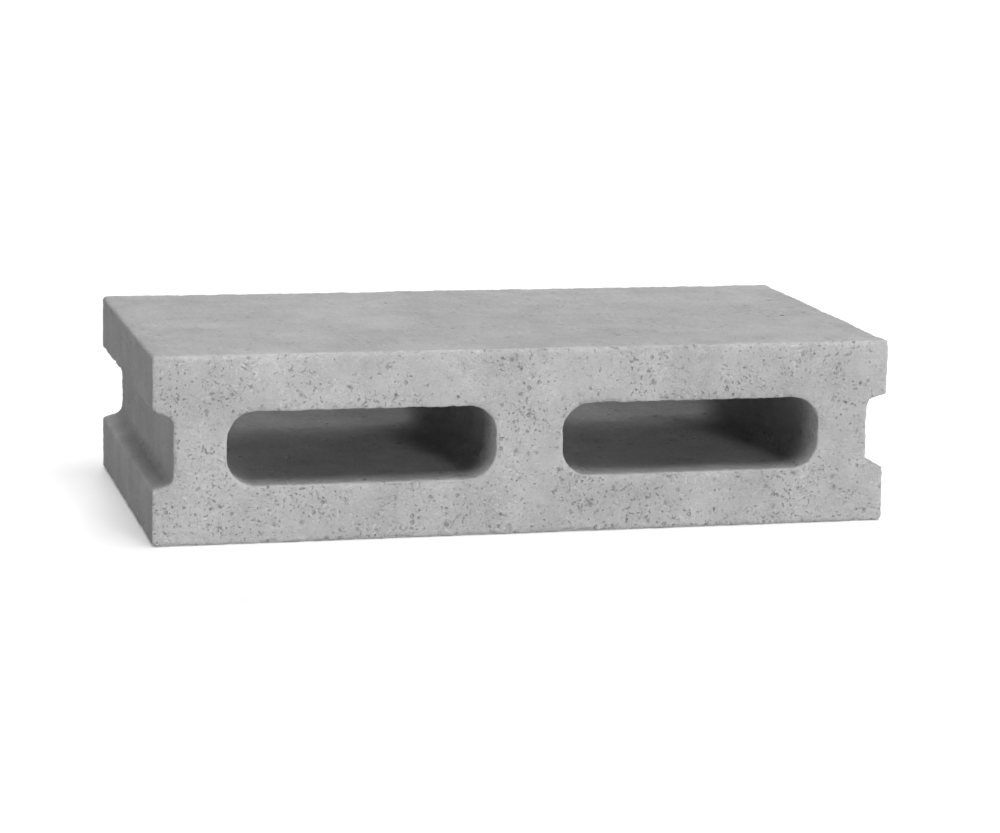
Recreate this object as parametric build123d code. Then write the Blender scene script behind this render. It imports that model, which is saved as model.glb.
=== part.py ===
from build123d import *

import os

# Hollow concrete partition block, lying on one of its two large faces. Sizes in millimetres.
# X runs along the block, Y along its cores and Z through the thickness of the wall it builds.
# The front bed face, at -Y, is the one that shows. The origin is the centre of the face it lies on.

# The block
block_length = 400.0
block_height = 200.0
block_thickness = 100.0

# The walls round the cores, measured at the front bed face where the cores are widest
face_shell = 30.5
centre_web = 36.0
end_web = 28.0

# The cores, which narrow towards the back so that the core bars draw out. Each short side is
# straight for a few millimetres, between two round corners.
core_count = 2
core_side_flat = 9.0
core_draft = 1.5

# The mortar groove down the middle of each end
groove_depth = 11.0
groove_floor_width = 34.0
groove_flare = 3.0
groove_floor_radius = 5.0

# The arrises: those the mould's corners leave, and the finer ones round the two bed faces
mould_arris_radius = 2.0
bed_arris_radius = 1.0

core_width = block_thickness - 2 * face_shell
core_corner_radius = (core_width - core_side_flat) / 2
core_span = block_length - 2 * (groove_depth + end_web)
core_length = (core_span - (core_count - 1) * centre_web) / core_count
core_pitch = core_length + centre_web


def bed_plane(y):
    # A plane parallel to the bed faces, at mid thickness, with its normal towards the back
    return Plane(origin=(0, y, block_thickness / 2), x_dir=(1, 0, 0), z_dir=(0, 1, 0))


def end_groove(side):
    # Section of the groove in the left (-1) or right (+1) end: wider at its mouth than at its floor
    mouth = side * block_length / 2
    floor = side * (block_length / 2 - groove_depth)
    half_floor = groove_floor_width / 2
    half_mouth = half_floor + groove_flare
    outline = Polyline(
        (mouth, -half_mouth),
        (floor, -half_floor),
        (floor, half_floor),
        (mouth, half_mouth),
        close=True,
    )
    return make_face(outline)


def block_section():
    # Outline of the block across its cores, with the two grooves and every moulded corner rounded
    section = Rectangle(block_length, block_thickness)
    section -= end_groove(-1) + end_groove(1)
    floor_x = block_length / 2 - groove_depth
    floors = [v for v in section.vertices() if abs(abs(v.X) - floor_x) < 0.01]
    section = fillet(floors, groove_floor_radius)
    outer = [v for v in section.vertices() if abs(abs(v.X) - block_length / 2) < 0.01]
    return fillet(outer, mould_arris_radius)


def core(centre_x):
    # One core, from its wide mouth in the front bed face to its narrow mouth in the back one
    wide = RectangleRounded(core_length, core_width, core_corner_radius)
    narrow = RectangleRounded(
        core_length - 2 * core_draft,
        core_width - 2 * core_draft,
        core_corner_radius - core_draft,
    )
    front = bed_plane(-block_height / 2) * Pos(centre_x, 0) * wide
    back = bed_plane(block_height / 2) * Pos(centre_x, 0) * narrow
    return loft([front, back], ruled=True)


def concrete_block():
    block = extrude(bed_plane(-block_height / 2) * block_section(), block_height)
    for index in range(core_count):
        block -= core((index - (core_count - 1) / 2) * core_pitch)
    bed_faces = block.faces().filter_by(Axis.Y).sort_by(Axis.Y)
    return fillet(bed_faces[0].edges() + bed_faces[-1].edges(), bed_arris_radius)


os.makedirs("parts", exist_ok=True)
block = concrete_block()
block.label = "concrete_block"
export_step(block, "parts/concrete_block.step")
print("solids", len(block.solids()), "volume", round(block.volume), "size", block.bounding_box().size)
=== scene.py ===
import math

import bmesh
import bpy
from mathutils import Matrix, Quaternion, Vector, noise


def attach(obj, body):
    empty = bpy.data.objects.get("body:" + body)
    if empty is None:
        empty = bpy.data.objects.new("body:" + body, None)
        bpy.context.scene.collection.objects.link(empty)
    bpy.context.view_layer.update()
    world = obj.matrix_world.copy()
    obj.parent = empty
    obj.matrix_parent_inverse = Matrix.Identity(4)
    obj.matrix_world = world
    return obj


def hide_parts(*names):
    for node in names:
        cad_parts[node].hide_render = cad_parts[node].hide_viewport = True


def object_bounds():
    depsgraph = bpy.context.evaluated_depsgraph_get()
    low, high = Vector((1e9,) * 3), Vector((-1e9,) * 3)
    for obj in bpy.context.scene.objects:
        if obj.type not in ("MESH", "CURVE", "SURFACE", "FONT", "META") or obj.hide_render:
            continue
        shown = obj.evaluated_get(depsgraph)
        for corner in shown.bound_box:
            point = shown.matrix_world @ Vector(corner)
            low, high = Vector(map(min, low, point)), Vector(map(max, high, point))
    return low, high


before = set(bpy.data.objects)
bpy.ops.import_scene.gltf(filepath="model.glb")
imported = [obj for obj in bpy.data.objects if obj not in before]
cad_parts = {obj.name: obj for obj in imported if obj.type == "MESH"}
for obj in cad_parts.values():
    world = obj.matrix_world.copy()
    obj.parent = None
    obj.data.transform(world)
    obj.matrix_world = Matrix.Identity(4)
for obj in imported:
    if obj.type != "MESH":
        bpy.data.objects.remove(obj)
cadLow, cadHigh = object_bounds()
scene = bpy.context.scene
scene.view_settings.view_transform = "Standard"
print("frame loaded:", sorted(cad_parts))


# Camera

view = {
    "eye": (-0.417, -1.620, 0.372),  # metres from the middle of the face that the block lies on
    "target": (0.0095, 0.0, 0.0435),
    "roll": 1.3,  # degrees
    "lens": 110.0,  # millimetres, on a sensor 36 wide
    "clip": (0.05, 60),  # metres
}


def makeCamera():
    camera = bpy.data.objects.new("camera", bpy.data.cameras.new("camera"))
    camera.data.lens = view["lens"]
    camera.data.clip_start, camera.data.clip_end = view["clip"]
    eye = Vector(view["eye"])
    aim = (Vector(view["target"]) - eye).to_track_quat("-Z", "Y")
    turn = Quaternion((0, 0, 1), math.radians(view["roll"]))
    camera.matrix_world = Matrix.LocRotScale(eye, aim @ turn, None)
    scene.collection.objects.link(camera)
    scene.camera = camera


makeCamera()
print("camera placed")


# Shader maths: a Wire is a socket that can be used in an expression

class Wire:
    def __init__(self, sheet, socket):
        self.sheet = sheet
        self.socket = socket

    def join(self, operation, *parts):
        return self.sheet.add("Math", {"operation": operation}, list(parts))

    def __add__(self, other):
        return self.join("ADD", self, other)

    def __radd__(self, other):
        return self.join("ADD", other, self)

    def __sub__(self, other):
        return self.join("SUBTRACT", self, other)

    def __rsub__(self, other):
        return self.join("SUBTRACT", other, self)

    def __mul__(self, other):
        return self.join("MULTIPLY", self, other)

    def __rmul__(self, other):
        return self.join("MULTIPLY", other, self)


class Sheet:
    def __init__(self, tree):
        self.tree = tree
        tree.nodes.clear()

    # takes a kind of node, its settings, and its sockets by number or by name;
    # out picks the socket that is handed back
    def add(self, kind, settings=None, sockets=(), out=0):
        node = self.tree.nodes.new("ShaderNode" + kind)
        for name, value in (settings or {}).items():
            if name == "stops":
                self.setStops(node.color_ramp, value)
            else:
                setattr(node, name, value)
        pairs = sockets.items() if isinstance(sockets, dict) else enumerate(sockets)
        for key, value in pairs:
            if isinstance(value, Wire):
                self.tree.links.new(value.socket, node.inputs[key])
            else:
                node.inputs[key].default_value = value
        return Wire(self, node.outputs[out]) if len(node.outputs) else None

    def setStops(self, ramp, stops):
        while len(ramp.elements) < len(stops):
            ramp.elements.new(0.5)
        for element, (place, grey) in zip(ramp.elements, stops):
            element.position = place
            element.color = (grey, grey, grey, 1)


def newSheet(name):
    material = bpy.data.materials.new(name)
    material.use_nodes = True
    return material, Sheet(material.node_tree)


# Concrete: grey cement paste over fine sand, open between the grains here and there

concrete = {
    "paste": (0.478, 0.478, 0.478, 1),
    "grains": 760,  # to the metre, as every scale here
    "grainShades": [(0.0, 0.12), (0.14, 0.42), (0.84, 0.56), (1.0, 0.95)],  # a few are dark, a few pale
    "grainContrast": 0.42,
    "grainRim": 0.5,  # from the middle of a grain, where their spacing is 1
    "dust": 1900,
    "dustContrast": 0.42,
    "bare": 85,  # paste hides less of the sand in some places than in others
    "bareLevels": (0.38, 0.66),  # of the noise, where paste hides most and least
    "bareLeast": 0.25,
    "drift": 46,  # gaps and pinholes lie thicker in some places than in others
    "gaps": 620,  # openings between the grains, dark with painted shade
    "gapDrift": 0.22,
    "gapClosed": 0.030,  # how much closer the skin is on faces that the mould is drawn along
    "gapLevels": (0.39, 0.31),  # of the noise, at the rim of a gap and where it is deepest
    # painted shade in a gap, at its deepest
    "gapPaintedShade": 0.21,
    "pinholes": 210,
    "pinholeRagged": 900,
    "pinholeStray": (0.0016, 0.0016, 0.0016),  # metres
    "pinholeDrift": 1.2,
    "pinholeClosed": 0.1,  # as gapClosed
    "pinholeFrom": 0.45,  # about this share of the places for a pinhole have none
    "pinholeSize": 0.26,  # radius of the largest, where their spacing is 1
    "pinholeRim": 0.05,  # width of the slope round it
    # painted shade in a pinhole, at its deepest
    "pinholePaintedShade": 0.25,
    "mottle": 34,
    "mottleContrast": 0.60,
    "tone": 7,
    "toneContrast": 0.16,
    "toneAndShadeAt": (1.38, 0.0, -0.32),  # where in the noise these two are taken from, in metres; picked so that they darken the front face towards its bottom, painted shade on top of random tone
    "drag": (520, 30, 520),  # marks that the mould leaves as it is drawn off along the cores
    "dragContrast": 0.14,
    "rubbedPale": 0.04,
    # painted shade in pits: the deeper the pit, the darker its colour
    "hollowPaintedShade": 0.30,
    "roughness": 0.95,
    "specular": 0.3,
    "relief": 0.00060,  # metres, how deep a pinhole is; the next four are shares of it
    "grainHeight": 0.6,
    "dustHeight": 0.32,
    "dragHeight": 0.30,
    "gapDepth": 0.7,
}
middle = 0.5  # of what a texture gives; less this, it goes as far above 0 as below
firstColour, secondColour, mixedColour = 6, 7, 2  # the Mix node's sockets for colours


def makeConcrete():
    material, sheet = newSheet("concrete")
    place = sheet.add("TexCoord", out="Object")
    hollow = sheet.add("Attribute", {"attribute_name": "hollow"}, out="Fac")
    rubbed = sheet.add("Attribute", {"attribute_name": "rubbed"}, out="Fac")
    drawn = sheet.add("Attribute", {"attribute_name": "drawn"}, out="Fac")

    # every grain of sand has a shade of its own, and paste hides most of them
    sand = {"Vector": place, "Scale": concrete["grains"]}
    cell = sheet.add("TexVoronoi", {"feature": "F1"}, sand, "Color")
    cellShade = sheet.add("SeparateColor", {}, [cell])
    grain = sheet.add("ValToRGB", {"stops": concrete["grainShades"]}, [cellShade])
    dome = sheet.add("TexVoronoi", {"feature": "F1"}, sand, "Distance")
    dust = sheet.add("TexNoise", {}, {"Vector": place, "Scale": concrete["dust"], "Detail": 2.0})
    bare = sheet.add("TexNoise", {}, {"Vector": place, "Scale": concrete["bare"], "Detail": 3.0})
    bare = sheet.add("MapRange", {}, [bare, *concrete["bareLevels"], concrete["bareLeast"], 1.0])

    # gaps have ragged outlines and come in drifts
    drift = sheet.add("TexNoise", {}, {"Vector": place, "Scale": concrete["drift"], "Detail": 3.0}) - middle
    speck = sheet.add(
        "TexNoise", {},
        {"Vector": place, "Scale": concrete["gaps"], "Detail": 4.0, "Roughness": 0.72},
    )
    closed = speck + drift * concrete["gapDrift"] + drawn * concrete["gapClosed"]
    gap = sheet.add("MapRange", {}, [closed, *concrete["gapLevels"], 0.0, 1.0])

    # pinholes are rounder, and each has a size of its own
    ragged = {"Vector": place, "Scale": concrete["pinholeRagged"], "Detail": 2.0}
    stray = sheet.add("TexNoise", {}, ragged, "Color")
    bent = sheet.add("VectorMath", {"operation": "MULTIPLY_ADD"}, [stray, concrete["pinholeStray"], place])
    hole = {"Vector": bent, "Scale": concrete["pinholes"]}
    pick = sheet.add("SeparateColor", {}, [sheet.add("TexVoronoi", {"feature": "F1"}, hole, "Color")])
    pick = pick - drift * concrete["pinholeDrift"] - drawn * concrete["pinholeClosed"]
    size = sheet.add("MapRange", {}, [pick, concrete["pinholeFrom"], 1.0, 0.0, concrete["pinholeSize"]])
    depth = size - sheet.add("TexVoronoi", {"feature": "F1"}, hole, "Distance")
    pinhole = sheet.add("MapRange", {}, [depth, 0.0, concrete["pinholeRim"], 0.0, 1.0])

    # slow shades, and the marks of the mould
    # random tone, placed so that it also paints shade along the bottom of the front face
    moved = sheet.add("Mapping", {}, {"Vector": place, "Location": concrete["toneAndShadeAt"]})
    cloud = sheet.add(
        "TexNoise", {},
        {"Vector": moved, "Scale": concrete["mottle"], "Detail": 6.0, "Roughness": 0.62},
    )
    tone = sheet.add("TexNoise", {}, {"Vector": moved, "Scale": concrete["tone"], "Detail": 2.0})
    stretched = sheet.add("Mapping", {}, {"Vector": place, "Scale": concrete["drag"]})
    drag = sheet.add("TexNoise", {}, {"Vector": stretched, "Scale": 1.0, "Detail": 3.0})
    drag = (drag - middle) * drawn

    shade = 1 + (grain - middle) * bare * concrete["grainContrast"]
    shade = shade + (dust - middle) * concrete["dustContrast"]
    shade = shade + (cloud - middle) * concrete["mottleContrast"]
    shade = shade + (tone - middle) * concrete["toneContrast"]
    shade = shade + drag * concrete["dragContrast"] + rubbed * concrete["rubbedPale"]
    # painted shade in the pits that the wear leaves
    shade = shade * (1 - hollow * concrete["hollowPaintedShade"])
    # painted shade in the gaps and pinholes
    shade = shade * (1 - gap * concrete["gapPaintedShade"]) * (1 - pinhole * concrete["pinholePaintedShade"])
    tint = sheet.add("CombineColor", {}, [shade, shade, shade])
    colour = sheet.add(
        "Mix", {"data_type": "RGBA", "blend_type": "MULTIPLY"},
        {"Factor": 1.0, firstColour: concrete["paste"], secondColour: tint}, mixedColour,
    )
    height = (concrete["grainRim"] - dome) * bare * concrete["grainHeight"] + dust * concrete["dustHeight"]
    height = height + drag * concrete["dragHeight"] - gap * concrete["gapDepth"] - pinhole
    bump = sheet.add("Bump", {}, {"Strength": 1.0, "Distance": concrete["relief"], "Height": height})
    finish = {"Roughness": concrete["roughness"], "Specular IOR Level": concrete["specular"]}
    surface = sheet.add("BsdfPrincipled", {}, {"Base Color": colour, "Normal": bump, **finish})
    sheet.add("OutputMaterial", {}, {"Surface": surface})
    return material


# The block: the casting's own shape, with the surface that a block machine leaves

block = {
    "spacing": 0.0009,  # between the points that the wear moves; in metres, as every size here
    "quickSpacing": 0.002,
    "triangles": 196000,
    "arrisReach": 0.0048,  # how far a rubbed arris is rounded
    "arrisWear": 1.5,
    "crumbs": 0.0105,  # size of what has broken off an arris
    "crumbLayers": (0.7, 2.1, 5),  # of noise: how fast they weaken, how much finer each is, how many
    "crumbStretches": 0.060,  # arrises have lost more in some stretches than in others
    "crumbleEven": 0.28,  # what is lost everywhere
    "crumbleFine": 0.95,  # what comes and goes with the crumbs
    "crumbleSlow": 0.55,  # what comes and goes with the stretches
    "crumbleMost": 1.2,
    "crumbleSharp": 1.4,  # above 1, it makes small losses smaller
    "sandRelief": 0.00075,
    "sandDrawn": 0.45,  # as a share of that on faces that the mould is drawn along
    "sandSize": 0.0034,
    "sandLayers": (0.9, 2.2, 3),
    "drawnUpTo": 0.65,  # a face with more of its normal than this along the cores isn't such a face
    "drawnFade": 0.3,  # with this much less, it fully is
    "coreFill": 0.00035,  # gives the cores back the width that sand and swell take from their walls
    "coreInset": 0.020,  # the walls of the cores lie deeper than this, those of the grooves don't
    "swell": 0.00035,  # slow unevenness of a face
    "swellSize": 0.085,
    "ragged": 0.0008,  # how far the outline of a pit strays
    "raggedScale": 520,  # to the metre
    "raggedSeed": 5,  # 0 would take a new one from the clock at each run
    "pits": [
        {"apart": 0.0080, "share": 0.50, "radius": (0.0010, 0.0018), "depth": 0.60},
        {"apart": 0.022, "share": 0.30, "radius": (0.0018, 0.0030), "depth": 0.50},
    ],
    "pitDraw": 61.7,  # another number here gives other pits
    "hollowFull": 0.0008,  # a pit this deep gets the most painted shade
    "rubbedFull": 0.0010,  # an arris that has lost this much is as pale as they get
}


def clamp(value, low=0.0, high=1.0):
    return min(high, max(low, value))


# makes noise that runs from -1 to 1 run from 0 to 1
def asShare(value):
    return 0.5 + 0.5 * value


def countTriangles(mesh):
    return sum(len(p.vertices) - 2 for p in mesh.polygons)


# the casting with its points evenly spread, so that wear can move them
def evenSkin(node, spacing):
    bm = bmesh.new()
    bm.from_mesh(node.data)
    bmesh.ops.remove_doubles(bm, verts=bm.verts, dist=1e-6)
    rough = bpy.data.objects.new("rough", bpy.data.meshes.new("rough"))
    bm.to_mesh(rough.data)
    bm.free()
    scene.collection.objects.link(rough)
    voxels = rough.modifiers.new("voxels", "REMESH")
    voxels.mode = "VOXEL"
    voxels.voxel_size = spacing
    skin = bmesh.new()
    skin.from_object(rough, bpy.context.evaluated_depsgraph_get())
    bpy.data.objects.remove(rough)
    return skin


# where the points would go if every arris were rubbed round; smoothing reaches as many
# spacings as the square root of its rounds
def rubSkin(skin, spacing):
    fresh = [v.co.copy() for v in skin.verts]
    axes = {"use_axis_x": True, "use_axis_y": True, "use_axis_z": True}
    for _ in range(round((block["arrisReach"] / spacing) ** 2)):
        bmesh.ops.smooth_vert(skin, verts=skin.verts, factor=0.5, **axes)
    soft = [v.co.copy() for v in skin.verts]
    for v, start in zip(skin.verts, fresh):
        v.co = start
    skin.normal_update()
    return soft


# how much an arris has lost at a place, where 1 is what rubbing it round would take
def arrisLoss(place):
    fine = noise.fractal(place / block["crumbs"], *block["crumbLayers"])
    slow = noise.noise(place / block["crumbStretches"])
    crumble = block["crumbleEven"] + block["crumbleFine"] * fine + block["crumbleSlow"] * slow
    return clamp(crumble, 0.0, block["crumbleMost"]) ** block["crumbleSharp"] * block["arrisWear"]


def sandDepth(place, drawn):
    sand = max(0.0, asShare(noise.fractal(place / block["sandSize"], *block["sandLayers"])))
    sand *= 1 - drawn * (1 - block["sandDrawn"])
    return sand * block["sandRelief"]


def pitDepth(place, pit):
    distances, centres = noise.voronoi(place / pit["apart"])
    pick = asShare(noise.cell(centres[0] * block["pitDraw"]))
    if pick > pit["share"]:
        return 0.0
    small, large = pit["radius"]
    radius = small + (large - small) * pick / pit["share"]
    inside = 1 - (distances[0] * pit["apart"] / radius) ** 2
    return radius * pit["depth"] * inside if inside > 0 else 0.0


def fillDepth(place, drawn):
    inset = min(place.x - cadLow[0], cadHigh[0] - place.x, place.z - cadLow[2], cadHigh[2] - place.z)
    return block["coreFill"] * drawn if inset > block["coreInset"] else 0.0


def wearSkin(skin, spacing):
    hollow = skin.verts.layers.float.new("hollow")
    rubbed = skin.verts.layers.float.new("rubbed")
    drawn = skin.verts.layers.float.new("drawn")
    noise.seed_set(block["raggedSeed"])
    for v, soft in zip(skin.verts, rubSkin(skin, spacing)):
        start = v.co.copy()
        v[drawn] = clamp((block["drawnUpTo"] - abs(v.normal.y)) / block["drawnFade"])
        lost = max(0.0, (start - soft).dot(v.normal)) * arrisLoss(start)
        swell = asShare(noise.noise(start / block["swellSize"])) * block["swell"]
        stray = start + noise.noise_vector(start * block["raggedScale"]) * block["ragged"]
        pit = max(pitDepth(stray, pit) for pit in block["pits"])
        depth = lost + swell + sandDepth(start, v[drawn]) + pit - fillDepth(start, v[drawn])
        v.co = start - v.normal * depth
        # how deep the pit is, for the painted shade in it
        v[hollow] = clamp(pit / block["hollowFull"])
        v[rubbed] = clamp(lost / block["rubbedFull"])


def thinOut(piece, triangles):
    thin = piece.modifiers.new("thin", "DECIMATE")
    thin.ratio = min(1.0, triangles / countTriangles(piece.data))
    dense = piece.data
    piece.data = bpy.data.meshes.new_from_object(piece.evaluated_get(bpy.context.evaluated_depsgraph_get()))
    piece.modifiers.clear()
    bpy.data.meshes.remove(dense)


def makeBlock(node):
    spacing = block["spacing"]
    skin = evenSkin(node, spacing)
    print("block: even skin,", len(skin.verts), "points")
    wearSkin(skin, spacing)
    piece = bpy.data.objects.new("block", bpy.data.meshes.new("block"))
    skin.to_mesh(piece.data)
    skin.free()
    scene.collection.objects.link(piece)
    print("block: worn")
    thinOut(piece, block["triangles"])
    for v in piece.data.vertices:
        v.co = [clamp(c, low, high) for c, low, high in zip(v.co, cadLow, cadHigh)]
    piece.data.polygons.foreach_set("use_smooth", [True] * len(piece.data.polygons))
    piece.data.materials.clear()
    piece.data.materials.append(makeConcrete())
    print("block: finished,", countTriangles(piece.data), "triangles")
    return piece


casting = makeBlock(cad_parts["concrete_block"])
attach(casting, "root")
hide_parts("concrete_block")


# Floor and light

studio = {
    "floorSize": 30,
    "floorShade": 0.36,  # as the block is lit by it
    "floorSeen": 0.98,  # as the camera sees it
    "floorLift": 0.26,  # brings what the camera sees up to white
    "sky": 0.02,  # as the block is lit by it; the camera sees white
    "lamps": [
        {"name": "above", "strength": 0.62, "spread": 44, "from": (0.10, -0.14, 1.0)},
        {"name": "front", "strength": 0.87, "spread": 14, "from": (0.30, -1.0, 0.07)},
        {"name": "back", "strength": 0.32, "spread": 20, "from": (0.16, 1.0, 0.58)},
        {"name": "left", "strength": 0.24, "spread": 12, "from": (-1.0, -0.10, 0.08)},
        {"name": "right", "strength": 0.24, "spread": 12, "from": (1.0, -0.10, 0.06)},
    ],
}


def makeFloor():
    bm = bmesh.new()
    bmesh.ops.create_grid(bm, x_segments=1, y_segments=1, size=studio["floorSize"])
    floor = bpy.data.objects.new("floor", bpy.data.meshes.new("floor"))
    bm.to_mesh(floor.data)
    bm.free()
    scene.collection.objects.link(floor)
    material, sheet = newSheet("floor")
    seen = sheet.add("LightPath", out="Is Camera Ray")
    shade = studio["floorShade"] + seen * (studio["floorSeen"] - studio["floorShade"])
    white = sheet.add("CombineColor", {}, [shade, shade, shade])
    matt = sheet.add("BsdfDiffuse", {}, {"Color": white})
    lift = sheet.add("Emission", {}, {"Color": (1, 1, 1, 1), "Strength": seen * studio["floorLift"]})
    surface = sheet.add("AddShader", {}, [matt, lift])
    sheet.add("OutputMaterial", {}, {"Surface": surface})
    floor.data.materials.append(material)


def makeLight():
    world = bpy.data.worlds.new("studio")
    world.use_nodes = True
    scene.world = world
    sheet = Sheet(world.node_tree)
    seen = sheet.add("LightPath", out="Is Camera Ray")
    strength = studio["sky"] + seen * (1 - studio["sky"])
    sky = sheet.add("Background", {}, {"Color": (1, 1, 1, 1), "Strength": strength})
    sheet.add("OutputWorld", {}, {"Surface": sky})
    for lamp in studio["lamps"]:
        sun = bpy.data.objects.new(lamp["name"], bpy.data.lights.new(lamp["name"], "SUN"))
        sun.data.energy = lamp["strength"] * math.pi  # so that 1 shows a facing colour as it is written
        sun.data.angle = math.radians(lamp["spread"])
        sun.matrix_world = Vector(lamp["from"]).to_track_quat("Z", "Y").to_matrix().to_4x4()
        scene.collection.objects.link(sun)


makeFloor()
makeLight()
print("floor and light placed")
